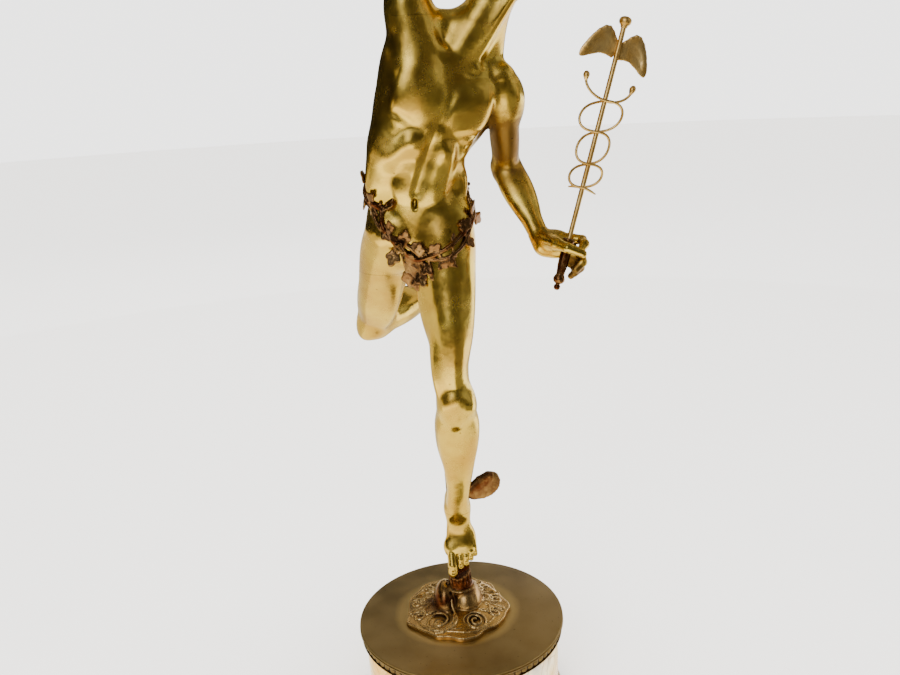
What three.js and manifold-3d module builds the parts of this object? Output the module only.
// A bronze statuette of the winged messenger on a round marble and brass plinth.
// Millimetres, +Z up. The figure faces -Y, its left is +X. Origin: centre of the plinth's underside.
import * as THREE from 'three';
import { mergeVertices } from 'three/addons/utils/BufferGeometryUtils.js';
import Module from 'manifold-3d';

const wasm = await Module();
wasm.setup();

// Driving dimensions of the plinth
const clearance = 0.3;
const footRingRadius = 99;
const footRingHeight = 11;
const drumRadius = 94;
const drumHeight = 66;
const drumSides = 40;
const bandHeight = 8;
const bandTooth = 1.1;
const bandTeeth = 72;
const bandInset = 1.5;
const plateRadius = 100;
const plateThickness = 4;
const plateLip = 1.2;

// Driving dimensions of the puff of wind under the toes
const puffTop = 40;
const neckRadius = 10.6;
const neckFlutes = 8;
const domeDepth = 21;
const domeHeight = 33;
const skirtRadius = 50;
const skirtEdge = 3.4;
const skirtHeight = 9.5;
const frontCurlRadius = 11.5;
const sideCurlRadius = 8.6;
const curlWire = 2.2;

// Driving dimensions of the figure and what it carries
const stature = 520;
const drawnStature = 520;
const rodRadius = 2.15;
const knobRadius = 5.2;
const gripRadius = 4.6;
const serpentRadius = 1.15;
const serpentHead = 2.4;
const staffWingSpan = 54;
const staffWingThickness = 1.8;
const ankleWingLength = 42;
const ankleWingThickness = 3;
const hatRadius = 35;
const hatWingLength = 40;
const hatWingThickness = 2.6;
const vineRadius = 2.6;
const leafLength = 15;
const girdleMiddle = 407;
const girdleFall = 43;
const girdleDip = 6;
const girdleLean = 8;

const unit = stature / drawnStature;
const plateTop = footRingHeight + drumHeight + bandHeight + plateThickness + 3 * clearance;
const drawnToes = 40;
const toeSpot = [3, -4];
const bandRadius = plateRadius - bandInset;
const ample = 400;

// Vectors
const V = (x, y, z) => new THREE.Vector3(x, y, z);
const mix = (a, b, t) => a.clone().lerp(b, t);
const plus = (a, x, y, z) => V(a.x + x, a.y + y, a.z + z);
const toward = (from, to) => to.clone().sub(from).normalize();
const across = (v, axis) => v.clone().addScaledVector(axis, -v.dot(axis)).normalize();

// Own axes of a body part: left, front and up from its centre
class Place {
  constructor(centre, up, front) {
    this.centre = centre;
    this.up = up.clone().normalize();
    this.front = across(front, this.up);
    this.left = this.up.clone().cross(this.front);
  }
  dir(left, front, up) {
    const v = this.left.clone().multiplyScalar(left);
    return v.addScaledVector(this.front, front).addScaledVector(this.up, up);
  }
  at(left, front, up) {
    return this.dir(left, front, up).add(this.centre);
  }
}

// Shapes as distances: negative inside, measured in the figure's drawn millimetres
const dot = (v, x, y, z) => v.x * x + v.y * y + v.z * z;

function egg(centre, [wide, deep, high], long = V(0, 0, 1), face = V(0, -1, 0)) {
  const w = long.clone().normalize();
  const f = across(face, w);
  const s = f.clone().cross(w);
  const reach = Math.max(wide, deep, high);
  const distance = (x, y, z) => {
    const X = x - centre.x;
    const Y = y - centre.y;
    const Z = z - centre.z;
    const p = dot(s, X, Y, Z) / wide;
    const q = dot(f, X, Y, Z) / deep;
    const r = dot(w, X, Y, Z) / high;
    const near = Math.hypot(p, q, r);
    const slope = Math.hypot(p / wide, q / deep, r / high);
    return near < 1e-4 ? -Math.min(wide, deep, high) : (near * (near - 1)) / slope;
  };
  return { centre, reach, distance };
}

function muscle(a, b, width, thick, face = V(0, -1, 0)) {
  const half = a.distanceTo(b) * 0.56;
  return egg(mix(a, b, 0.5), [width / 2, thick / 2, half], b.clone().sub(a), face);
}

function rod(a, b, ra, rb) {
  const ab = b.clone().sub(a);
  const length2 = ab.lengthSq();
  const distance = (x, y, z) => {
    const X = x - a.x;
    const Y = y - a.y;
    const Z = z - a.z;
    const t = Math.min(1, Math.max(0, dot(ab, X, Y, Z) / length2));
    return Math.hypot(X - t * ab.x, Y - t * ab.y, Z - t * ab.z) - ra - (rb - ra) * t;
  };
  return { centre: mix(a, b, 0.5), reach: ab.length() / 2 + Math.max(ra, rb), distance };
}

function smoothTable(stations, column) {
  const slope = stations.map((s, i) => {
    const before = stations[Math.max(0, i - 1)];
    const after = stations[Math.min(stations.length - 1, i + 1)];
    return (after[column] - before[column]) / (after[0] - before[0]);
  });
  return (t) => {
    let i = 0;
    while (i < stations.length - 2 && t > stations[i + 1][0]) i += 1;
    const h = stations[i + 1][0] - stations[i][0];
    const u = (t - stations[i][0]) / h;
    const u2 = u * u;
    const u3 = u2 * u;
    return (2 * u3 - 3 * u2 + 1) * stations[i][column] + (u3 - 2 * u2 + u) * h * slope[i]
      + (3 * u2 - 2 * u3) * stations[i + 1][column] + (u3 - u2) * h * slope[i + 1];
  };
}

// A round limb. A station is the share of its length, then its reach to the front, back, right and left
function limb(a, b, face, stations) {
  const length = a.distanceTo(b);
  const w = toward(a, b);
  const f = across(face, w);
  const s = f.clone().cross(w);
  const first = stations[0][0];
  const last = stations[stations.length - 1][0];
  const [front, back, right, left] = [1, 2, 3, 4].map((column) => smoothTable(stations, column));
  const widest = Math.max(...stations.map((row) => Math.max(...row.slice(1))));
  const distance = (x, y, z) => {
    const X = x - a.x;
    const Y = y - a.y;
    const Z = z - a.z;
    const v = dot(f, X, Y, Z);
    const u = dot(s, X, Y, Z);
    const t = dot(w, X, Y, Z) / length;
    const tc = Math.min(last, Math.max(first, t));
    const ru = u > 0 ? left(tc) : right(tc);
    const rv = v > 0 ? front(tc) : back(tc);
    const re = Math.min(ru, rv);
    const e = (t - tc) * length;
    const near = Math.hypot(u / ru, v / rv, e / re);
    const slope = Math.hypot(u / ru ** 2, v / rv ** 2, e / re ** 2);
    return near < 1e-4 ? -re : (near * (near - 1)) / slope;
  };
  const middle = a.clone().addScaledVector(w, (length * (first + last)) / 2);
  return { centre: middle, reach: (length * (last - first)) / 2 + widest, distance };
}

// A form: shapes blended into and out of one another in order
class Form {
  constructor() {
    this.steps = [];
  }
  grow(shape, blend) {
    this.steps.push({ ...shape, blend, cut: false });
  }
  carve(shape, blend) {
    this.steps.push({ ...shape, blend, cut: true });
  }
  distance(x, y, z) {
    let d = 60;
    for (const { centre, reach, distance, blend, cut } of this.steps) {
      const away = Math.hypot(x - centre.x, y - centre.y, z - centre.z) - reach;
      if (away > (cut ? -d : d) + blend) continue;
      const other = cut ? -distance(x, y, z) : distance(x, y, z);
      const h = Math.max(blend - Math.abs(d - other), 0) / blend;
      const soft = (h * h * blend) / 4;
      d = cut ? Math.max(d, other) + soft : Math.min(d, other) - soft;
    }
    return d;
  }
  // How far the surface lies from a point inside, along a direction, up to a limit
  depth(from, direction, limit) {
    let r = 0;
    for (let i = 0; i < 60 && r < limit; i += 1) {
      const d = this.distance(from.x + direction.x * r, from.y + direction.y * r, from.z + direction.z * r);
      if (d > -0.03) break;
      r += Math.max(-d * 0.85, 0.1);
    }
    return Math.min(r, limit);
  }
}

// Closed solids
function solid(geometry) {
  const bare = new THREE.BufferGeometry();
  bare.setAttribute('position', geometry.attributes.position.clone());
  if (geometry.index) bare.setIndex(geometry.index.clone());
  const merged = mergeVertices(bare, 1e-4);
  const vertProperties = new Float32Array(merged.attributes.position.array);
  const triVerts = new Uint32Array(merged.index.array);
  const mesh = new wasm.Mesh({ numProp: 3, vertProperties, triVerts });
  mesh.merge();
  return new wasm.Manifold(mesh);
}

const joined = (solids) => solids.reduce((whole, next) => whole.add(next));

function geometryOf(body) {
  const mesh = body.getMesh();
  const geometry = new THREE.BufferGeometry();
  geometry.setAttribute('position', new THREE.BufferAttribute(new Float32Array(mesh.vertProperties), 3));
  geometry.setIndex(new THREE.BufferAttribute(new Uint32Array(mesh.triVerts), 1));
  return geometry;
}

// Joins leave slivers along their seams. Each short or nearly flat edge is closed up
// where the surface stays closed, no face turns over and the surface hardly moves
function cleaned(body, shortest = 0.9, flatness = 0.16, longest = 9) {
  const mesh = body.getMesh();
  const points = [];
  for (let i = 0; i < mesh.vertProperties.length; i += 3) {
    points.push(V(...mesh.vertProperties.slice(i, i + 3)));
  }
  const faces = [];
  const around = points.map(() => new Set());
  for (let i = 0; i < mesh.triVerts.length; i += 3) {
    const face = Array.from(mesh.triVerts.slice(i, i + 3));
    face.forEach((v) => around[v].add(face));
    faces.push(face);
  }
  const normalOf = ([a, b, c]) => points[b].clone().sub(points[a]).cross(points[c].clone().sub(points[a]));
  const neighbours = (v) => new Set([...around[v]].flat().filter((w) => w !== v));

  function closes(gone, kept) {
    const length = points[gone].distanceTo(points[kept]);
    if (length > longest) return false;
    const keptNeighbours = neighbours(kept);
    if ([...neighbours(gone)].filter((v) => keptNeighbours.has(v)).length !== 2) return false;
    for (const face of around[gone]) {
      const before = normalOf(face);
      const size = before.length();
      const toKept = points[kept].clone().sub(points[gone]);
      if (length > shortest && Math.abs(before.dot(toKept)) > flatness * size) return false;
      if (face.includes(kept)) continue;
      const after = normalOf(face.map((v) => (v === gone ? kept : v)));
      if (after.length() < 0.02 || after.dot(before) < 0.75 * after.length() * size) return false;
    }
    return true;
  }

  function close(gone, kept) {
    for (const face of [...around[gone]]) {
      if (face.includes(kept)) {
        face.forEach((v) => around[v].delete(face));
        face.length = 0;
      } else {
        face[face.indexOf(gone)] = kept;
        around[kept].add(face);
      }
    }
    around[gone].clear();
  }

  for (let round = 0; round < 4; round += 1) {
    const edges = faces.filter((f) => f.length).flatMap(([a, b, c]) => [[a, b], [b, c], [c, a]]);
    const sizes = new Map(edges.map((edge) => [edge, points[edge[0]].distanceToSquared(points[edge[1]])]));
    edges.sort((one, two) => sizes.get(one) - sizes.get(two));
    for (const [gone, kept] of edges) {
      const edgeStands = [...around[gone]].some((face) => face.includes(kept));
      if (edgeStands && closes(gone, kept)) close(gone, kept);
    }
  }
  const vertProperties = new Float32Array(points.flatMap((point) => point.toArray()));
  const triVerts = new Uint32Array(faces.flat());
  return new wasm.Manifold(new wasm.Mesh({ numProp: 3, vertProperties, triVerts }));
}

// A closed skin from rings of points, all with as many points, and a point at each end
function ringsSolid(rings, start, end) {
  const sides = rings[0].length;
  const points = [start, ...rings.flat(), end];
  const at = (ring, side) => 1 + ring * sides + (side % sides);
  const triangles = [];
  for (let s = 0; s < sides; s += 1) {
    triangles.push(0, at(0, s + 1), at(0, s));
    for (let r = 0; r + 1 < rings.length; r += 1) {
      triangles.push(at(r, s), at(r, s + 1), at(r + 1, s + 1), at(r, s), at(r + 1, s + 1), at(r + 1, s));
    }
    triangles.push(at(rings.length - 1, s), at(rings.length - 1, s + 1), points.length - 1);
  }
  const geometry = new THREE.BufferGeometry();
  geometry.setAttribute('position', new THREE.Float32BufferAttribute(points.flatMap((p) => p.toArray()), 3));
  geometry.setIndex(triangles);
  const body = solid(geometry);
  return body.volume() > 0 ? body : solid(flipped(geometry));
}

function flipped(geometry) {
  const index = Array.from(geometry.index.array);
  for (let i = 0; i < index.length; i += 3) [index[i], index[i + 1]] = [index[i + 1], index[i]];
  geometry.setIndex(index);
  return geometry;
}

// Skin over a form: rays go out square to a spine, up to the reach at that share of it.
// Its end rings are tucked in, so that they sink into the skin that they join
const endTuck = 1.6;
function skin(form, spine, ringCount, sides, reach, swell = 0) {
  const curve = new THREE.CatmullRomCurve3(spine, false, 'centripetal');
  const frames = curve.computeFrenetFrames(ringCount - 1, false);
  const rings = [];
  for (let i = 0; i < ringCount; i += 1) {
    const share = i / (ringCount - 1);
    const centre = curve.getPointAt(share);
    const limit = Array.isArray(reach) ? THREE.MathUtils.lerp(reach[0], reach[1], share) : reach;
    rings.push(Array.from({ length: sides }, (_, s) => {
      const angle = (2 * Math.PI * (s + 0.5 * (i % 2))) / sides;
      const out = frames.normals[i].clone().multiplyScalar(Math.cos(angle));
      out.addScaledVector(frames.binormals[i], Math.sin(angle));
      const tuck = i === 0 || i === ringCount - 1 ? endTuck : 0;
      return centre.clone().addScaledVector(out, form.depth(centre, out, limit) + swell - tuck);
    }));
  }
  const lead = (share, way) => {
    const centre = curve.getPointAt(share);
    const out = curve.getTangentAt(share).multiplyScalar(way);
    return centre.addScaledVector(out, Math.min(form.depth(centre, out, 14), 14) + swell);
  };
  return ringsSolid(rings, lead(0, -1), lead(1, 1));
}

// A jointed round stick, such as a finger, with a rounded end
function stick(points, radii, sides = 5) {
  const rings = [];
  points.forEach((point, i) => {
    const before = points[Math.max(0, i - 1)];
    const after = points[Math.min(points.length - 1, i + 1)];
    const axis = toward(before, after);
    const u = across(Math.abs(axis.z) < 0.9 ? V(0, 0, 1) : V(0, 1, 0), axis);
    const v = axis.clone().cross(u);
    rings.push(Array.from({ length: sides }, (_, s) => {
      const angle = (2 * Math.PI * s) / sides;
      const out = u.clone().multiplyScalar(Math.cos(angle)).addScaledVector(v, Math.sin(angle));
      return point.clone().addScaledVector(out, radii[i]);
    }));
  });
  const last = points.length - 1;
  const start = points[0].clone().addScaledVector(toward(points[1], points[0]), radii[0] * 0.7);
  const end = points[last].clone().addScaledVector(toward(points[last - 1], points[last]), radii[last] * 0.8);
  return ringsSolid(rings, start, end);
}

// The figure's joints and its parts' own axes, in drawn millimetres above the plate's top
const hipL = V(5, 14, 378);
const kneeL = V(5, -8, 226);
const ankleL = V(2, 15, 106);
const hipR = V(-46, 27, 370);
const kneeR = V(-71, 115, 272);
const ankleR = V(3, 212, 286);
const shoulderL = V(59, 14, 500);
const elbowL = V(63, 50, 426);
const wristL = V(90, 9, 364);
const shoulderR = V(-13, -2, 541);
const elbowR = V(-22, -8, 634);
const wristR = V(-10, -26, 706);
const neckBase = V(20, 8, 524);
const neckTop = V(54, 5, 572);
const pelvis = new Place(V(-20, 20, 374), V(0.07, -0.1, 1), V(-0.17, -0.98, 0));
const belly = new Place(V(-16, 13, 428), V(0.14, -0.1, 1), V(0.03, -1, 0));
const chest = new Place(V(-1, 6, 479), V(0.35, -0.07, 0.93), V(0.26, -0.96, 0));
const head = new Place(V(66, -2, 597), V(0.46, 0.33, 0.8), V(-0.45, -0.65, 0.6));
const staffTop = V(161, 0, 546);
const staffEnd = V(98, -20, 330);
const staffUp = toward(staffEnd, staffTop);
const gripHeight = 29;
const grip = staffEnd.clone().addScaledVector(staffUp, gripHeight / staffUp.z);

// Points beside a bone: left of it and in front of it
const beside = (a, b, t, left, front) => plus(mix(a, b, t), left, -front, 0);
const along = (a, b, side, front) => (t, l, f) => (
  mix(a, b, t).addScaledVector(side, l).addScaledVector(front, f)
);

function growTorso(form) {
  const g = (shape, blend) => form.grow(shape, blend);
  const c = (shape, blend) => form.carve(shape, blend);
  g(egg(pelvis.at(0, 0, 0), [41, 25, 34], pelvis.up, pelvis.front), 1);
  g(egg(belly.at(-2, -1, 0), [34, 21, 46], belly.up, belly.front), 14);
  g(egg(chest.at(-1, -4, -2), [42, 27, 48], chest.up, chest.front), 12);
  g(rod(chest.at(-28, -4, -34), chest.at(-32, -5, 30), 17, 17), 12);
  g(rod(chest.at(-32, -5, 30), plus(mix(shoulderR, elbowR, 0.22), -1, 4, 0), 17, 15), 12);
  g(rod(belly.at(-24, 0, -4), chest.at(-28, -4, -30), 15, 15), 10);
  g(rod(chest.at(0, -7, 32), chest.at(40, -5, 33), 20, 14), 10);
  g(rod(chest.at(0, -7, 32), chest.at(-24, -7, 42), 20, 16), 10);
  g(egg(chest.at(20, 13.5, 19), [24, 11.5, 19], chest.dir(0.35, 0, 1), chest.front), 7);
  const armRootL = mix(shoulderL, elbowL, 0.1);
  const armRootR = mix(shoulderR, elbowR, 0.1);
  g(muscle(chest.at(16, 14, 24), plus(armRootL, -3, -6, 0), 30, 19, chest.front), 7);
  g(egg(chest.at(-19, 13.5, 22), [22, 11.5, 22], chest.dir(-0.3, 0, 1), chest.front), 7);
  g(muscle(chest.at(-16, 14, 26), plus(mix(shoulderR, elbowR, 0.14), -2, -7, 0), 34, 19, chest.front), 7);
  for (const s of [1, -1]) {
    g(rod(chest.at(4 * s, 17, -8), chest.at(15 * s, 15.5, -20), 6, 7), 8);
    g(rod(chest.at(15 * s, 15.5, -20), chest.at(26 * s, 9, -40), 7, 7), 9);
    g(muscle(belly.at(28 * s - 2, 1, -32), chest.at(32 * s, -2, -34), 22, 32, belly.dir(s, 0.5, 0)), 10);
    g(muscle(pelvis.at(9 * s, 16, -8), chest.at(10 * s, 15, -20), 22, 13, belly.front), 8);
    g(rod(pelvis.at(36 * s, 4, 22), pelvis.at(24 * s, 16, 10), 7, 5), 9);
    g(muscle(pelvis.at(9 * s, -19, 4), chest.at(10 * s, -22, -10), 18, 15, belly.dir(0, -1, 0)), 7);
  }
  g(muscle(chest.at(26, -13, -28), plus(armRootL, -8, 8, 0), 30, 24, chest.dir(0.6, -1, 0)), 10);
  g(muscle(chest.at(-28, -12, -30), plus(armRootR, -4, 8, 0), 34, 26, chest.dir(-0.6, -1, 0)), 10);
  g(egg(chest.at(24, -20, 22), [16, 8, 20], chest.dir(-0.2, 0, 1), chest.front), 8);
  g(egg(chest.at(-22, -20, 30), [16, 8, 20], chest.dir(-0.5, 0, 1), chest.front), 8);
  g(egg(pelvis.at(21, -20, -12), [21, 18, 24], pelvis.dir(0.1, 0.1, 1), pelvis.front), 8);
  g(egg(pelvis.at(-22, -18, -10), [21, 17, 22], pelvis.dir(-0.2, -0.4, 1), pelvis.front), 8);
  g(rod(plus(neckBase, -4, 0, -8), plus(neckTop, 2, 0, 0), 19.5, 17.5), 9);
  g(rod(plus(mix(neckBase, neckTop, 0.62), 6, 6, 0), plus(shoulderL, -15, 0, 12), 12, 9), 10);
  g(rod(plus(mix(neckBase, neckTop, 0.5), -6, 6, 0), plus(shoulderR, 10, 4, 10), 13, 13), 10);
  g(rod(plus(mix(neckBase, neckTop, 0.5), -2, 6, 0), chest.at(0, -18, 24), 14, 10), 8);
  c(rod(chest.at(6, 25.5, 34), chest.at(1, 27.5, 4), 2, 2.2), 6);
  c(rod(chest.at(0, 25, -14), belly.at(-1, 23.8, -12), 1.5, 1.2), 5);
  c(rod(chest.at(2, -32, 30), chest.at(0, -32, -14), 2.5, 2.5), 7);
  c(rod(chest.at(0, -32, -14), pelvis.at(0, -30, 14), 2.5, 2.5), 7);
  c(rod(pelvis.at(0, -42, -6), pelvis.at(-1, -36, -34), 1.5, 2.5), 6);
}

const thighStations = [
  [-0.06, 24, 24, 23, 25], [0.08, 25, 26, 25, 26], [0.22, 25, 25, 25, 25], [0.4, 24, 23, 23.5, 23],
  [0.6, 22, 20, 21, 21], [0.8, 18.5, 17.5, 18, 18.5], [0.93, 16.5, 17, 17.5, 18.2],
  [1.02, 15.5, 17, 17, 17.6],
];
const shankStations = [
  [-0.04, 15, 16, 16.5, 17], [0.08, 14.5, 17.5, 17, 18], [0.2, 13.5, 20, 18, 19.5],
  [0.33, 12.5, 20.5, 17.5, 19],
  [0.5, 11.2, 17.5, 15.5, 16.5], [0.65, 10, 13.5, 12.6, 13.5], [0.8, 9.2, 11, 10.4, 11],
  [0.92, 9.2, 11, 10.2, 10.6], [1.03, 9.5, 11, 10.4, 10.8],
];

function growStandingLeg(form) {
  const g = (shape, blend) => form.grow(shape, blend);
  const face = V(0.06, -1, -0.05);
  g(limb(hipL, kneeL, face, thighStations), 9);
  const thigh = (t, l, f) => beside(hipL, kneeL, t, l, f);
  g(muscle(thigh(0.18, 2, 9), thigh(0.88, 1, 10), 27, 30, face), 6);
  g(muscle(thigh(0.1, 9, 2), thigh(0.8, 6, 4), 19, 32, V(1, -0.6, 0)), 6);
  g(muscle(thigh(0.5, -9, 6), thigh(0.97, -9.5, 7), 17, 24, V(-1, -0.8, 0)), 5);
  g(muscle(thigh(0.05, -12, 0), thigh(0.62, -11, -2), 24, 34, V(-1, 0, 0)), 7);
  g(muscle(thigh(0.12, 7, -11), thigh(0.98, 10, -11), 20, 24, V(0.4, 1, 0)), 6);
  g(muscle(thigh(0.12, -7, -11), thigh(0.98, -9, -11), 20, 24, V(-0.4, 1, 0)), 6);
  g(egg(plus(kneeL, 0, -13, 4), [8, 5, 9], V(0, 0, 1), face), 4);
  g(egg(plus(kneeL, -10, -4, -2), [8, 12, 11], V(0, 0, 1), face), 6);
  g(egg(plus(kneeL, 10, -4, -2), [8.5, 12, 11], V(0, 0, 1), face), 6);
  g(limb(kneeL, ankleL, face, shankStations), 6);
  const shank = (t, l, f) => beside(kneeL, ankleL, t, l, f);
  g(muscle(shank(0.05, -8, -7), shank(0.56, -7, -8), 22, 26, V(-0.5, 1, 0)), 6);
  g(muscle(shank(0.05, 9, -7), shank(0.5, 9, -7), 21, 25, V(0.5, 1, 0)), 6);
  g(muscle(shank(0.1, 7, 5), shank(0.8, 3, 5), 14, 15, V(0.5, -1, 0)), 5);
  g(rod(shank(0.12, -4, 10), shank(0.92, -2, 6.5), 4, 3), 5);
  growFoot(form, footL, shank(0.55, 0, -11));
}

const thighDownR = toward(hipR, kneeR);
const shankDownR = toward(kneeR, ankleR);
const thighFrontR = across(shankDownR, thighDownR).negate();
const thighSideR = thighFrontR.clone().cross(thighDownR);
const shinFrontR = across(thighDownR, shankDownR);
const shinSideR = shinFrontR.clone().cross(shankDownR);

function growFreeLeg(form) {
  const g = (shape, blend) => form.grow(shape, blend);
  g(limb(hipR, kneeR, thighFrontR, thighStations), 9);
  const thigh = along(hipR, kneeR, thighSideR, thighFrontR);
  g(muscle(thigh(0.15, 0, 9), thigh(0.9, 0, 9), 28, 28, thighFrontR), 6);
  g(muscle(thigh(0.18, 12, 4), thigh(0.9, 10, 5), 20, 30, thighSideR), 6);
  g(muscle(thigh(0.35, -10, 4), thigh(0.97, -9, 6), 18, 26, thighSideR.clone().negate()), 6);
  g(muscle(thigh(0.1, 6, -10), thigh(0.98, 8, -9), 19, 22, thighFrontR.clone().negate()), 6);
  g(muscle(thigh(0.1, -7, -10), thigh(0.98, -8, -9), 20, 22, thighFrontR.clone().negate()), 6);
  g(egg(thigh(1.04, 0, 13), [9, 7, 10], thighDownR, thighFrontR), 5);
  g(limb(kneeR, ankleR, shinFrontR, shankStations), 7);
  const shank = along(kneeR, ankleR, shinSideR, shinFrontR);
  g(muscle(shank(0.05, 8, -7), shank(0.56, 7, -8), 21, 25, shinFrontR.clone().negate()), 6);
  g(muscle(shank(0.05, -8, -7), shank(0.5, -8, -7), 20, 24, shinFrontR.clone().negate()), 6);
  growFoot(form, footR, shank(0.55, 0, -11));
}

// Feet: the front axis runs towards the toes, up is out of the instep. bigToe is the side of the great toe
const footL = { place: new Place(ankleL, V(0, -0.91, 0.42), V(0.03, -0.42, -0.91)), bigToe: -1 };
const footR = { place: new Place(ankleR, shankDownR.clone().negate(), V(0.1, 0.62, -0.77)), bigToe: 1 };
const footStations = [
  [-0.1, 11, 11, 10.5, 10.5], [0.15, 12.5, 11, 11, 11], [0.35, 11.5, 9, 11.5, 11.5],
  [0.6, 9, 7, 13, 13], [0.85, 7, 6.5, 14.3, 14.3], [1, 5.2, 6, 13, 13],
];

function growFoot(form, { place, bigToe }, cord) {
  const g = (shape, blend) => form.grow(shape, blend);
  g(rod(place.at(7 * bigToe, 0, -3), place.at(-7 * bigToe, -1, -4), 6.5, 6), 4);
  g(egg(place.at(0, -11, -12), [9.8, 13, 11], place.up, place.front), 7);
  g(rod(cord, place.at(0, -17, -7), 4.2, 5.5), 6);
  g(limb(place.at(0, -6, -7), place.at(0, 42, -13), place.up, footStations), 7);
  g(egg(place.at(9 * bigToe, 38, -15), [7.5, 9, 7], place.up, place.front), 5);
  g(egg(place.at(-9 * bigToe, 30, -15), [6.5, 12, 6], place.up, place.front), 5);
}

function toes({ place, bigToe }, swell = 0) {
  const rows = [
    [9, 40, 63.2, 5], [1.4, 39, 57, 3.3], [-4, 38, 54.5, 3.2], [-9, 36, 50, 3], [-13.2, 32, 46, 2.9],
  ];
  return rows.map(([side, root, tip, size]) => {
    const points = [[root - 6, -13], [tip - 7, -12], [tip - 1, -13.5]];
    const radius = size + swell;
    return stick(points.map(([f, u]) => place.at(side * bigToe, f, u)), [radius, radius, radius * 0.9]);
  });
}

const armStations = [
  [-0.12, 13, 13, 13, 13], [0.05, 16, 16, 15, 16], [0.25, 15.5, 15, 14, 15], [0.5, 14.5, 13.5, 12.5, 12.5],
  [0.75, 12.5, 12.5, 11.8, 12], [0.95, 11, 12, 12.4, 12.4], [1.03, 10.5, 11.5, 12, 12],
];
const forearmStations = [
  [-0.05, 10.5, 10.5, 12, 12], [0.1, 12, 11, 12.8, 13], [0.28, 12.2, 11, 12.8, 13.2],
  [0.5, 10.8, 10, 11, 11.6],
  [0.75, 8.6, 8.2, 9, 9.6], [0.93, 7.2, 7, 8.7, 9], [1.05, 7, 6.8, 8.7, 9],
];

function growArm(form, shoulder, elbow, wrist, inside, deltoid) {
  const g = (shape, blend) => form.grow(shape, blend);
  const upperDown = toward(shoulder, elbow);
  const front = across(inside, upperDown);
  const side = front.clone().cross(upperDown);
  const upper = along(shoulder, elbow, side, front);
  g(limb(shoulder, elbow, front, armStations), 7);
  g(egg(upper(deltoid, 3, 0), [16, 16.8, 26.5], upperDown, front), 6);
  g(muscle(upper(0.3, 0, 6), upper(0.95, -0.5, 5), 20, 20, front), 4);
  g(muscle(upper(0.25, 1, -6), upper(0.91, 0, -6), 22, 20, front.clone().negate()), 4);
  const lowerDown = toward(elbow, wrist);
  const lowerFront = across(front, lowerDown);
  const lowerSide = lowerFront.clone().cross(lowerDown);
  const lower = along(elbow, wrist, lowerSide, lowerFront);
  g(limb(elbow, wrist, lowerFront, forearmStations), 6);
  g(muscle(lower(-0.07, 6, 3), lower(0.62, 5, 2), 15, 18, lowerSide), 5);
  g(muscle(lower(0, -6, 3), lower(0.62, -4, 2), 14, 18, lowerSide.clone().negate()), 5);
}

// A hand of palm, four fingers and thumb, each a list of joints with its own thickness
function hand(palm, wrist, knuckles, fingers) {
  const heel = mix(wrist, knuckles, -0.15);
  const back = skin(palm, [heel, mix(wrist, knuckles, 0.5), knuckles], 5, 10, 20);
  const sticks = fingers.map(([points, radius]) => {
    const taper = points.map((_, i) => radius * (1 - 0.06 * i));
    return stick(points, taper);
  });
  return joined([back, ...sticks]);
}

function leftHand() {
  const out = across(V(0.74, -0.62, -0.2), staffUp);
  const inner = out.clone().cross(staffUp);
  const at = (a, b, c) => grip.clone()
    .addScaledVector(out, a).addScaledVector(inner, b).addScaledVector(staffUp, c);
  const palm = new Form();
  const knuckles = at(-2, -8.5, 0);
  palm.grow(rod(mix(elbowL, wristL, 0.9), wristL, 8, 7.5), 2);
  palm.grow(muscle(mix(wristL, knuckles, -0.15), knuckles, 27, 12.5, inner), 6);
  palm.grow(muscle(wristL, at(-2, -7.5, 6), 16, 13, inner), 5);
  palm.grow(muscle(wristL, at(-3, -7.5, -8), 14, 12, inner), 5);
  const heights = [[10.5, 4.3, 1], [2.2, 4.5, 1.06], [-6.2, 4.2, 1], [-13.8, 3.7, 0.9]];
  const fingers = heights.map(([h, radius, long]) => {
    const knuckle = at(-6, -8.5, h * 0.9);
    return [[knuckle, at(7.5 * long, -6.5, h + 1), at(9.5 * long, 3, h), at(1.5, 8.2, h - 1.5)], radius];
  });
  const thumb = [mix(wristL, at(-6, -6, 8), 0.45), at(-9, 0.5, 11), at(-4, 8.5, 9), at(5.5, 9, 4)];
  return hand(palm, wristL, knuckles, [...fingers, [thumb, 5]]);
}

function rightHand() {
  const up = V(0.13, -0.2, 0.97).normalize();
  const inner = across(V(0.55, -0.82, 0), up);
  const thumbSide = inner.clone().cross(up);
  const at = (a, b, c) => wristR.clone()
    .addScaledVector(up, a).addScaledVector(inner, b).addScaledVector(thumbSide, c);
  const palm = new Form();
  palm.grow(muscle(at(-5, 0, 0), at(28, 1, 0), 26, 11.5, inner), 2);
  palm.grow(muscle(at(2, 2, 6), at(24, 3, 7), 13, 12, inner), 4);
  palm.grow(muscle(at(0, 2, -6), at(22, 3, -7), 12, 11, inner), 4);
  const rows = [
    [9.2, 27, [20, 9.5, 8], [4, 10, 16], 4.1], [3, 29, [20, 10, 8], [20, 50, 75], 4.2],
    [-3.2, 28, [19, 9, 7.5], [32, 72, 100], 4], [-9, 25, [16, 7.5, 6.5], [38, 80, 108], 3.5],
  ];
  const fingers = rows.map(([side, base, lengths, bends, radius]) => {
    const points = [at(base - 5, 1.5, side * 0.93)];
    lengths.forEach((length, i) => {
      const bend = THREE.MathUtils.degToRad(bends[i]);
      const way = up.clone().multiplyScalar(Math.cos(bend)).addScaledVector(inner, Math.sin(bend));
      points.push(points[i].clone().addScaledVector(way, length));
    });
    return [points, radius];
  });
  const thumb = [at(3, 2, 7), at(15, 6, 15), at(27, 8, 19)];
  return hand(palm, at(0, 0, 0), at(27, 1, 0), [...fingers, [thumb, 5.2]]);
}

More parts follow.
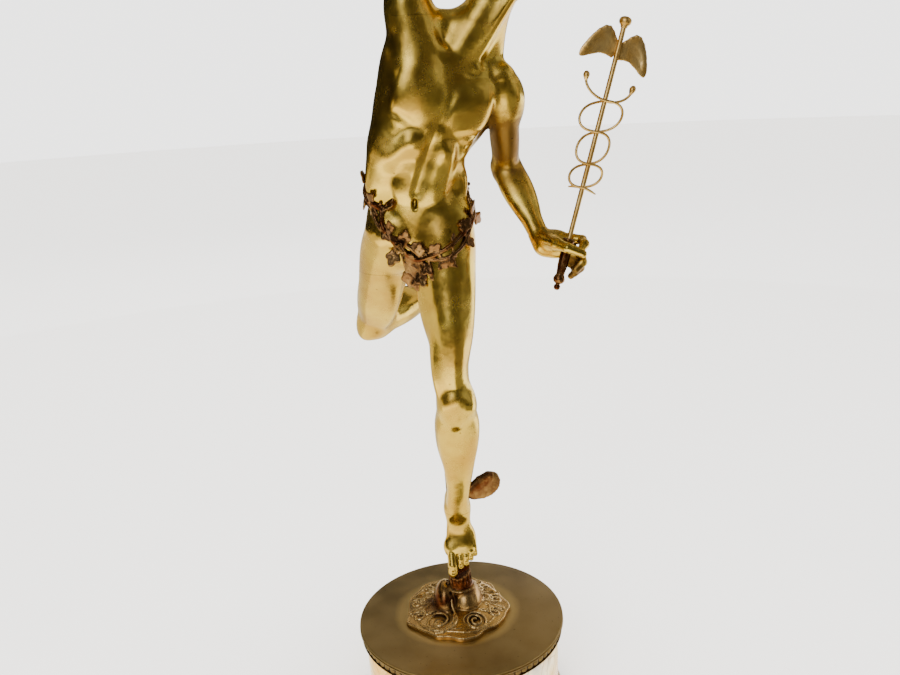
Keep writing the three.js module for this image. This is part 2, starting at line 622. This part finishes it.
function growHead(form) {
  const g = (l, f, u, size, blend) => form.grow(egg(head.at(l, f, u), size, head.up, head.front), blend);
  const bar = (a, b, ra, rb, blend) => form.grow(rod(head.at(...a), head.at(...b), ra, rb), blend);
  const cut = (l, f, u, size, blend) => form.carve(egg(head.at(l, f, u), size, head.up, head.front), blend);
  g(0, -5, 9, [23, 27, 24.5], 3);
  g(0, 8, -8, [18, 17, 24], 9);
  bar([-4, 20, -27], [4, 20, -27], 5.2, 5.2, 5);
  for (const s of [1, -1]) {
    bar([14.5 * s, 1, -14], [5 * s, 18, -28], 5.5, 5, 5);
    g(11.5 * s, 16.5, -5.5, [7, 6.5, 6.5], 5);
    bar([3 * s, 24.4, 8.3], [15 * s, 19.5, 8], 2.8, 2.6, 4);
    cut(9 * s, 27.5, 2, [6.2, 5.2, 4], 4);
    g(9 * s, 19.6, 1.6, [5, 5, 5], 1.5);
    bar([0.6 * s, 28, -15.2], [5.5 * s, 25.2, -16.4], 1.9, 1.2, 2);
    bar([0, 27.6, -19], [4.4 * s, 25.6, -18], 2, 1.3, 2);
    bar([22.4 * s, -2, 3], [21.8 * s, -4, -8], 3.4, 2.4, 2);
  }
  bar([0, 25.4, 6.5], [0, 30.4, -7], 2.6, 3.2, 3);
  g(0, 28.6, -8.8, [5, 4, 2.8], 2);
}

// Locks of hair all over the skull, apart from the face
function growHair(form, count) {
  for (let i = 0; i < count; i += 1) {
    const height = 1 - (2 * (i + 0.5)) / count;
    const turn = i * Math.PI * (3 - Math.sqrt(5));
    const wide = Math.sqrt(1 - height * height);
    const [l, f, u] = [24 * wide * Math.cos(turn), -4.5 + 28 * wide * Math.sin(turn), 8.5 + 25.5 * height];
    const isFace = f > 4 && u < 15 + 0.1 * Math.abs(l) - 0.45 * Math.max(0, Math.abs(l) - 17);
    if (u < -14 || u > 27 || isFace || (f > -6 && u < -1)) continue;
    form.grow(egg(head.at(l, f, u), [5.2, 5.2, 5.2]), 1.5);
  }
  form.grow(egg(head.at(0, -22, -9), [17, 9, 12], head.up, head.front), 3);
}

// Hat: a low round crown on a dished brim, turned about its own axis and tipped back
const hat = new Place(head.at(0, -7.5, 23), head.dir(0, -0.3, 1), head.front);

function hatSolid(swell = 0) {
  const crown = 22 + swell;
  const brim = hatRadius + swell;
  const profile = [
    [0, -2 - swell], [crown, -1.6 - swell], [brim - 3, 0.2 - swell], [brim, 1.2], [brim - 1, 2.6 + swell],
    [crown + 1, 2.2 + swell], [crown * 0.93, 9], [crown * 0.7, 14.2], [0, 18.4 + swell],
  ];
  const turned = new THREE.LatheGeometry(profile.map(([r, z]) => new THREE.Vector2(r, z)), 20);
  return placed(turned, hat.centre, hat.left, hat.up, hat.left.clone().cross(hat.up));
}

function placed(geometry, centre, x, y, z) {
  const matrix = new THREE.Matrix4().makeBasis(x, y, z).setPosition(centre);
  const body = solid(geometry.clone().applyMatrix4(matrix));
  return body.volume() > 0 ? body : solid(flipped(mergeVertices(stripped(geometry).applyMatrix4(matrix))));
}

function stripped(geometry) {
  const bare = new THREE.BufferGeometry();
  bare.setAttribute('position', geometry.attributes.position.clone());
  bare.setIndex(geometry.index ? geometry.index.clone() : null);
  return bare;
}

const body = new Form();
growTorso(body);
growStandingLeg(body);
growFreeLeg(body);
growArm(body, shoulderL, elbowL, wristL, V(0.36, -0.64, -0.29), 0.1);
growArm(body, shoulderR, elbowR, wristR, V(0.3, -0.95, 0.05), 0.22);

const headForm = new Form();
growHead(headForm);
growHair(headForm, 90);

function headSolid() {
  const centre = head.at(0, -2, 2);
  const rows = 13;
  const sides = 20;
  const rings = [];
  const ray = (polar, turn) => {
    const flat = Math.sin(polar);
    return head.dir(flat * Math.cos(turn), flat * Math.sin(turn), Math.cos(polar));
  };
  const reachTo = (polar, turn) => {
    const way = ray(polar, turn);
    return centre.clone().addScaledVector(way, headForm.depth(centre, way, 44));
  };
  for (let r = 1; r <= rows; r += 1) {
    const polar = (Math.PI * r) / (rows + 1);
    rings.push(Array.from({ length: sides }, (_, s) => reachTo(polar, (2 * Math.PI * s) / sides)));
  }
  return ringsSolid(rings, reachTo(0, 0), reachTo(Math.PI, 0));
}

const torsoSpine = [V(-20, 22, 346), V(-20, 20, 374), V(-16, 13, 428), V(-2, 5, 479), V(14, 7, 518)];
const hipsSkin = (swell) => skin(body, torsoSpine, 14, 18, [56, 54], swell);
const standingLegSkin = (swell) => {
  const ball = footL.place.at(0, 2, -4);
  const spine = [plus(hipL, 0, 0, 6), mix(hipL, kneeL, 0.5), kneeL, mix(kneeL, ankleL, 0.4), ankleL, ball];
  return skin(body, spine, 18, 10, [36, 17], swell);
};
const footSkin = ({ place }, swell) => {
  const spine = [place.at(0, -19, -11), place.at(0, 10, -10), place.at(0, 46, -13)];
  return skin(body, spine, 7, 8, 18, swell);
};
const freeThighSkin = (swell) => skin(body, [hipR, mix(hipR, kneeR, 0.5), kneeR], 8, 10, [34, 22], swell);
const freeShankSkin = (swell) => {
  const spine = [mix(kneeR, ankleR, -0.06), mix(kneeR, ankleR, 0.5), ankleR, footR.place.at(0, 2, -5)];
  return skin(body, spine, 10, 8, [24, 17], swell);
};

function figureSolid() {
  const parts = [hipsSkin(0), standingLegSkin(0), footSkin(footL, 0), ...toes(footL)];
  parts.push(freeThighSkin(0), freeShankSkin(0), footSkin(footR, 0), ...toes(footR));
  parts.push(skin(body, [V(18, 5, 508), V(40, 8, 508), V(58, 12, 500), V(66, 14, 497)], 5, 10, [26, 22]));
  const upperArmL = [plus(shoulderL, 0, -2, 6), mix(shoulderL, elbowL, 0.5), elbowL];
  const upperArmR = [V(4, 3, 486), V(-7, 1, 518), shoulderR, mix(shoulderR, elbowR, 0.5), elbowR];
  parts.push(skin(body, upperArmL, 6, 9, [22, 19]), skin(body, upperArmR, 9, 10, [30, 18]));
  parts.push(skin(body, [elbowL, mix(elbowL, wristL, 0.5), wristL], 6, 8, [17, 14]));
  parts.push(skin(body, [elbowR, mix(elbowR, wristR, 0.5), wristR], 6, 8, [17, 14]));
  parts.push(skin(body, [V(14, 8, 506), V(31, 8, 540), V(46, 7, 562), neckTop], 6, 12, [44, 21]));
  parts.push(leftHand(), rightHand(), headSolid(), hatSolid());
  return joined(parts);
}

// Drawn millimetres of the figure to the model's own, with the toes on the puff
const drawn = (size) => size / unit;
const toModel = new THREE.Matrix4()
  .makeTranslation(toeSpot[0], toeSpot[1], plateTop + puffTop + clearance)
  .multiply(new THREE.Matrix4().makeScale(unit, unit, unit))
  .multiply(new THREE.Matrix4().makeTranslation(-toeSpot[0], -toeSpot[1], -drawnToes));

// Caduceus rod, turned: end nub, round knob, socket in the fist, rod and flat top knob
const staffLength = staffEnd.distanceTo(staffTop);
const socketTop = 43;

function staffSolid(swell = 0) {
  const r = drawn(rodRadius) + swell;
  const g = drawn(gripRadius) + swell;
  const k = drawn(knobRadius) + swell;
  const profile = [
    [0, -2.6], [2.4, -1.6], [2.9, 0.6], [1.8, 2.6], [g * 0.95, 4.4], [g * 1.12, 7.4], [g * 0.9, 10.2],
    [g * 0.78, 12], [g, 26], [g, socketTop - 3], [g * 1.15, socketTop - 1.4], [g * 0.9, socketTop],
    [r, socketTop + 0.8], [r, staffLength - 7.5], [r * 1.35, staffLength - 6.6], [k, staffLength - 3.4],
    [k, staffLength - 1.2], [0, staffLength],
  ];
  const turned = new THREE.LatheGeometry(profile.map(([x, y]) => new THREE.Vector2(x, y)), 10);
  const side = across(V(1, 0, 0), staffUp);
  return placed(turned, staffEnd, side, staffUp, side.clone().cross(staffUp));
}

// Points of the staff's own plane: out to its left side, in front of it, and up from its end
const staffSide = V(0.998, -0.03, -0.06).normalize();
const staffFront = staffSide.clone().cross(staffUp).normalize();
const onStaff = (out, front, up) => staffEnd.clone()
  .addScaledVector(staffUp, up).addScaledVector(staffSide, out).addScaledVector(staffFront, front);

// A serpent winds round the rod: from its raised head through the crossings to its tail
const crossings = [160, 134, 107, 87];
const loopReach = [17.5, 13.4, 13.6];
const headReach = 21;
const headRise = 15.2;
const tailReach = 12;
const tailDrop = 2.4;
const endTilt = 0.27;

function serpentSolid(side) {
  const stand = drawn(rodRadius + serpentRadius + clearance);
  const points = [];
  for (let i = 0; i < 4; i += 1) {
    const turn = (Math.PI / 2) * (1 - i / 4);
    const out = -headReach * Math.sin(turn);
    points.push([out, 1, crossings[0] + headRise * (1 - Math.cos(turn)) - endTilt * side * out]);
  }
  const steps = 8;
  loopReach.forEach((reach, loop) => {
    for (let i = 0; i < steps; i += 1) {
      const turn = (Math.PI * i) / steps;
      const way = loop % 2 ? -1 : 1;
      const fall = i / steps - (0.7 * Math.sin(2 * turn)) / (2 * Math.PI);
      const height = crossings[loop] + (crossings[loop + 1] - crossings[loop]) * fall;
      points.push([way * reach * Math.sin(turn), way * Math.cos(turn), height]);
    }
  });
  const last = crossings[3];
  for (const share of [0, 0.5, 1]) {
    const out = -tailReach * share;
    points.push([out, -1, last - tailDrop * share ** 1.6 - endTilt * side * out]);
  }
  const wire = points.map(([out, front, up]) => onStaff(side * out, side * stand * front, up));
  const radius = drawn(serpentRadius);
  const wound = stick(wire, wire.map((_, i) => radius * (i > wire.length - 3 ? 0.7 : 1)), 5);
  const bead = new THREE.SphereGeometry(drawn(serpentHead), 7, 5);
  const up = toward(wire[1], wire[0]);
  const left = across(staffSide, up);
  bead.scale(0.9, 1.4, 0.9);
  return wound.add(placed(bead, wire[0], left, up, left.clone().cross(up)));
}

// A flat wing cut from an outline given as shares of its length, standing on a root
function wingSolid(outline, length, thickness, root, out, up) {
  const shape = new THREE.Shape(outline.map(([x, y]) => new THREE.Vector2(x * length, y * length)));
  const geometry = new THREE.ExtrudeGeometry(shape, { depth: thickness, bevelEnabled: false, steps: 1 });
  geometry.translate(0, 0, -thickness / 2);
  const x = out.clone().normalize();
  const y = across(up, x);
  return placed(geometry, root, x, y, x.clone().cross(y));
}

const heelWing = [
  [-0.12, -0.08], [0.08, -0.14], [0.3, -0.24], [0.55, -0.3], [0.78, -0.27], [0.94, -0.14], [1, 0.04],
  [0.95, 0.22], [0.8, 0.36], [0.58, 0.42], [0.34, 0.38], [0.12, 0.24], [-0.04, 0.14], [-0.12, 0.08],
];
const staffWing = [
  [0, 0.08], [0.13, 0.2], [0.28, 0.36], [0.42, 0.45], [0.56, 0.47], [0.7, 0.36], [0.83, 0.08],
  [0.93, -0.25], [1, -0.53], [0.9, -0.5], [0.78, -0.38], [0.6, -0.29], [0.4, -0.25], [0.2, -0.2], [0, -0.16],
];

function staffWingsSolid() {
  const half = drawn(staffWingSpan) / 2;
  const thickness = drawn(staffWingThickness);
  const root = onStaff(0, -drawn(rodRadius + clearance) - thickness / 2, 202);
  const mirror = staffWing.slice(1, -1).reverse().map(([x, y]) => [-x, y]);
  return wingSolid([...staffWing, ...mirror], half, thickness, root, staffSide, staffUp);
}

// Two small wings stand out from each ankle
function ankleWings(foot, skinOfFoot) {
  const { place, bigToe } = foot;
  const ways = foot === footL
    ? [[V(0.76, 0.62, 0.16), V(9, 22, 117)], [V(-0.02, 0.98, 0.18), V(-6, 22, 114)]]
    : [1, -1].map((s) => [place.dir(0.42 * s, -0.86, 0.3), place.at(8 * s, -4, -6)]);
  return ways.map(([out, root]) => {
    const up = foot === footL ? V(0, 0, 1) : place.dir(0, 0.3, 0.95);
    const wing = wingSolid(heelWing, drawn(ankleWingLength), drawn(ankleWingThickness), root, out, up);
    return wing.subtract(skinOfFoot);
  });
}

function hatWings(hatShell) {
  return [1, -1].map((s) => {
    const out = hat.dir(0.5 * s, -0.45, 0.74);
    const up = hat.dir(0, 1, 0.3);
    const root = hat.at(17 * s, 2, 9);
    const wing = wingSolid(heelWing, drawn(hatWingLength), drawn(hatWingThickness), root, out, up);
    return wing.subtract(hatShell);
  });
}

// The vine girdle hangs low in front and rises behind. Turn 0 is the front, a quarter the figure's left
const girdleHeight = (turn) => {
  const fall = girdleFall * Math.cos(turn) + girdleDip * Math.cos(2 * turn);
  return girdleMiddle - fall - girdleLean * Math.sin(turn);
};

function onHips(turn, height, lift) {
  const above = height - pelvis.centre.z;
  const axis = plus(pelvis.centre, above * 0.07, -above * 0.12, above);
  const out = V(Math.sin(turn), -Math.cos(turn), 0);
  return axis.addScaledVector(out, body.depth(V(axis.x, axis.y, axis.z), out, 56) + lift);
}

const vineStandoff = 1.3;

function vineStem(radius, wander, phase, sides) {
  const count = 24;
  const points = Array.from({ length: count }, (_, i) => {
    const turn = (2 * Math.PI * i) / count;
    return onHips(turn, girdleHeight(turn) + wander * Math.sin(3 * turn + phase), radius + vineStandoff);
  });
  const ring = new THREE.CatmullRomCurve3(points, true);
  const section = new THREE.Shape(Array.from({ length: sides }, (_, i) => {
    const angle = (2 * Math.PI * i) / sides;
    return new THREE.Vector2(radius * Math.cos(angle), radius * Math.sin(angle));
  }));
  return solid(new THREE.ExtrudeGeometry(section, { steps: 30, extrudePath: ring, bevelEnabled: false }));
}

function leafSolid(turn, height, lean, length) {
  const root = onHips(turn, height, vineStandoff + 1.4);
  const outward = V(Math.sin(turn), -Math.cos(turn), 0.12).normalize();
  const sideways = across(V(Math.cos(turn), Math.sin(turn), 0), outward);
  const upward = outward.clone().cross(sideways).negate();
  const way = sideways.clone().multiplyScalar(Math.cos(lean)).addScaledVector(upward, Math.sin(lean));
  const wide = outward.clone().cross(way);
  const rim = [
    [0, 0, 0.6], [0.3, 0.3, 0.8], [0.65, 0.26, 1.2], [1, 0, 1.8], [0.65, -0.26, 1.2], [0.3, -0.3, 0.8],
  ];
  const at = ([a, b, c]) => root.clone()
    .addScaledVector(way, a * length).addScaledVector(wide, b * length).addScaledVector(outward, c);
  const ring = rim.map(at);
  return ringsSolid([ring], at([0.45, 0, 3.4]), at([0.45, 0, -0.6]));
}

function girdleSolid(hips) {
  const stems = [vineStem(drawn(vineRadius), 2, 0, 5), vineStem(drawn(vineRadius) * 0.7, 7, 2.2, 3)];
  const leaves = [];
  const leafCount = 16;
  for (let i = 0; i < leafCount; i += 1) {
    const turn = (2 * Math.PI * i) / leafCount;
    const above = i % 2 ? 1 : -1;
    const lean = above * (0.9 + 0.35 * Math.sin(5 * i));
    const length = drawn(leafLength) * (0.85 + 0.2 * Math.cos(3 * i));
    leaves.push(leafSolid(turn, girdleHeight(turn) + 2 * above, lean, length));
  }
  for (let i = 0; i < 4; i += 1) {
    const turn = -0.45 + 0.25 * i;
    leaves.push(leafSolid(turn, girdleHeight(turn) - 4, -1.2 - 0.35 * i, drawn(leafLength) * 1.1));
  }
  return cleaned(joined([...stems, ...leaves]), 0.7, 0.1).subtract(hips);
}

// The puff of wind, cast in one: a wavy skirt with curls, a dome of two lobes and a fluted neck
const moundSpot = V(-4, 5, 0);
const neckSpot = V(1, 8, 0);
const leftLobe = { x: -10.5, wide: 11.5 };
const rightLobe = { x: 6.2, wide: 15.3 };
const lobeSpot = { y: 11, z: 4 };

function moundSolid() {
  const cloud = new Form();
  for (const { x, wide } of [leftLobe, rightLobe]) {
    cloud.grow(egg(V(x, lobeSpot.y, lobeSpot.z), [wide, domeDepth, domeHeight - lobeSpot.z]), 1.5);
  }
  const spine = [0.02, 0.5, 0.9].map((share) => V(-2.5, lobeSpot.y, domeHeight * share));
  const dome = skin(cloud, spine, 7, 18, domeDepth * 1.3);
  const sole = joined([footSkin(footL, gap), ...toes(footL, gap)]).transform(soleToMound.elements);
  const parts = [dome, neckSolid().subtract(sole), skirtSolid()];
  parts.push(curlSolid(V(-21.5, -23, 0), frontCurlRadius, 0.35, -1));
  parts.push(curlSolid(V(12.8, -25.5, 0), frontCurlRadius, 1.9, -1));
  const sideCurls = 8;
  for (let i = 0; i < sideCurls; i += 1) {
    const turn = THREE.MathUtils.degToRad(-22 + (224 * i) / (sideCurls - 1));
    const hand = i < sideCurls / 2 ? 1 : -1;
    const radius = sideCurlRadius + 1.2 * Math.sin(2.7 * i);
    const centre = skirtPoint(skirtRadius - 11.5, turn, 0);
    parts.push(curlSolid(centre, radius, turn + 0.9 * hand, hand));
  }
  const floor = solid(new THREE.BoxGeometry(ample, ample, ample).translate(0, 0, -ample / 2));
  return cleaned(joined(parts).subtract(floor), 0.7, 0.1);
}

// The neck leans on the sole behind the great toe, so its top rises to the left and to the back
const neckRise = (x, y) => 0.45 * Math.max(0, x + 2) + 0.8 * Math.max(0, y);

function neckSolid() {
  const foot = domeHeight - 6;
  const heights = [[foot, 1.42], [foot + 4, 1.3], [foot + 7.5, 1.08], [puffTop, 1.02]];
  const rings = heights.map(([z, share]) => Array.from({ length: neckFlutes * 2 }, (_, i) => {
    const turn = (Math.PI * i) / neckFlutes;
    const radius = neckRadius * share + (i % 2 ? 0.6 : -0.6);
    const x = radius * Math.cos(turn);
    const y = radius * Math.sin(turn);
    return plus(neckSpot, x, y, z < puffTop ? z : puffTop + neckRise(x, y));
  }));
  return ringsSolid(rings, plus(neckSpot, 0, 0, foot), plus(neckSpot, 0, 0, puffTop));
}

// The skirt falls to a thin edge with a wavy outline and reaches further at the back
const skirtBack = 1.12;
const skirtOutline = (turn) => (
  skirtRadius + 1.7 * Math.cos(5 * turn + 0.7) + 1.3 * Math.cos(9 * turn - 0.4) + 0.5 * Math.cos(16 * turn)
);
const skirtPoint = (reach, turn, z) => {
  const back = Math.sin(turn) > 0 ? skirtBack : 1;
  return plus(moundSpot, reach * Math.cos(turn), reach * back * Math.sin(turn), z);
};

function skirtTop(x, y) {
  const back = y > moundSpot.y ? skirtBack : 1;
  const inward = (skirtRadius - Math.hypot(x - moundSpot.x, (y - moundSpot.y) / back)) / 24;
  return THREE.MathUtils.lerp(skirtEdge, skirtHeight, THREE.MathUtils.clamp(inward, 0, 1));
}

function skirtSolid() {
  const sides = 40;
  const ring = (share, z) => Array.from({ length: sides }, (_, i) => {
    const turn = (2 * Math.PI * i) / sides;
    return skirtPoint(skirtOutline(turn) * share, turn, z);
  });
  const rings = [ring(1, 0), ring(1, skirtEdge), ring(0.5, skirtHeight)];
  return ringsSolid(rings, moundSpot.clone(), plus(moundSpot, 0, 0, skirtHeight));
}

// A curl is a raised line that winds in to its eye over the skirt
function curlSolid(centre, radius, start, hand) {
  const steps = 8;
  const points = Array.from({ length: steps }, (_, i) => {
    const share = i / (steps - 1);
    const turn = start + hand * share * 3 * Math.PI;
    const away = radius * (1 - 0.8 * share ** 0.9);
    const x = centre.x + away * Math.cos(turn);
    const y = centre.y + away * Math.sin(turn);
    return V(x, y, skirtTop(x, y) - curlWire * 0.35 + 0.9 * share);
  });
  return stick(points, points.map(() => curlWire * 0.75), 4);
}

// Plinth: turned pieces stacked with a hair's gap
function turnedSolid(profile, sides, bottom) {
  const lathe = new THREE.LatheGeometry(profile.map(([r, z]) => new THREE.Vector2(r, z)), sides);
  return solid(lathe.rotateX(Math.PI / 2).translate(0, 0, bottom));
}

const drumBottom = footRingHeight + clearance;
const bandBottom = drumBottom + drumHeight + clearance;
const plateBottom = bandBottom + bandHeight + clearance;

function footRingSolid() {
  const step = footRingHeight * 0.35;
  const r = footRingRadius;
  const profile = [
    [0, 0], [r, 0], [r, step], [r - 0.6, step + 1.4], [r - 2.4, step + 2],
    [r - 1.6, step + 4.2], [drumRadius + 1.2, footRingHeight], [0, footRingHeight],
  ];
  return turnedSolid(profile, drumSides, 0);
}

function drumSolid() {
  const bevel = 0.8;
  const r = drumRadius;
  const profile = [
    [0, 0], [r - bevel, 0], [r, bevel],
    [r, drumHeight - bevel], [r - bevel, drumHeight], [0, drumHeight],
  ];
  return turnedSolid(profile, drumSides, drumBottom);
}

function bandSolid() {
  const points = [];
  for (let i = 0; i < bandTeeth; i += 1) {
    for (const [share, radius] of [[0, bandRadius], [0.5, bandRadius - bandTooth]]) {
      const turn = (2 * Math.PI * (i + share)) / bandTeeth;
      points.push(new THREE.Vector2(radius * Math.cos(turn), radius * Math.sin(turn)));
    }
  }
  const outline = new THREE.Shape(points);
  const ring = new THREE.ExtrudeGeometry(outline, { depth: bandHeight, bevelEnabled: false, steps: 1 });
  return solid(ring.translate(0, 0, bandBottom));
}

function plateSolid() {
  const r = plateRadius;
  const profile = [
    [0, 0], [r - 0.8, 0], [r, plateLip],
    [r, plateThickness - plateLip * 0.5], [r - 0.6, plateThickness], [0, plateThickness],
  ];
  return turnedSolid(profile, drumSides, plateBottom);
}

// Finishes
const finish = (color, roughness, metalness) => (
  new THREE.MeshStandardMaterial({ color, roughness, metalness })
);
const polishedBronze = finish(0xb8913f, 0.2, 1);
const brownBronze = finish(0x7a4a2c, 0.35, 1);
const wornBrass = finish(0xa57f42, 0.3, 1);
const satinBrass = finish(0x73603a, 0.42, 1);
const sienaMarble = finish(0xd2b679, 0.25, 0);

const model = new THREE.Group();
const figureGroup = new THREE.Group();
figureGroup.applyMatrix4(toModel);
const moundGroup = new THREE.Group();
moundGroup.position.z = plateTop + clearance;
const soleToMound = new THREE.Matrix4().makeTranslation(0, 0, -moundGroup.position.z).multiply(toModel);
model.add(figureGroup, moundGroup);

function add(group, name, made, material) {
  const mesh = new THREE.Mesh(geometryOf(made), material);
  mesh.name = name;
  group.add(mesh);
}

const gap = drawn(clearance) * 1.2;
const hipsAround = joined([hipsSkin(gap), standingLegSkin(gap), freeThighSkin(gap)]);
const ankleAroundL = standingLegSkin(gap).add(footSkin(footL, gap));
const ankleAroundR = freeShankSkin(gap).add(footSkin(footR, gap));

add(figureGroup, 'figure', cleaned(figureSolid()).subtract(staffSolid(drawn(clearance))), polishedBronze);
add(figureGroup, 'vine_girdle', girdleSolid(hipsAround), brownBronze);
const addPair = (wings, names, material) => {
  wings.forEach((wing, i) => add(figureGroup, names[i], wing, material));
};
addPair(ankleWings(footL, ankleAroundL), ['ankle_wing_left_1', 'ankle_wing_left_2'], brownBronze);
addPair(ankleWings(footR, ankleAroundR), ['ankle_wing_right_1', 'ankle_wing_right_2'], brownBronze);
addPair(hatWings(hatSolid(gap)), ['hat_wing_left', 'hat_wing_right'], wornBrass);
add(figureGroup, 'caduceus_staff', staffSolid(), wornBrass);
add(figureGroup, 'caduceus_wings', staffWingsSolid(), wornBrass);
add(figureGroup, 'serpent_left', serpentSolid(1), wornBrass);
add(figureGroup, 'serpent_right', serpentSolid(-1), wornBrass);
add(moundGroup, 'wind_puff', moundSolid(), brownBronze);
add(model, 'top_plate', plateSolid(), satinBrass);
add(model, 'milled_band', bandSolid(), satinBrass);
add(model, 'marble_drum', drumSolid(), sienaMarble);
add(model, 'foot_ring', footRingSolid(), satinBrass);

export default model;
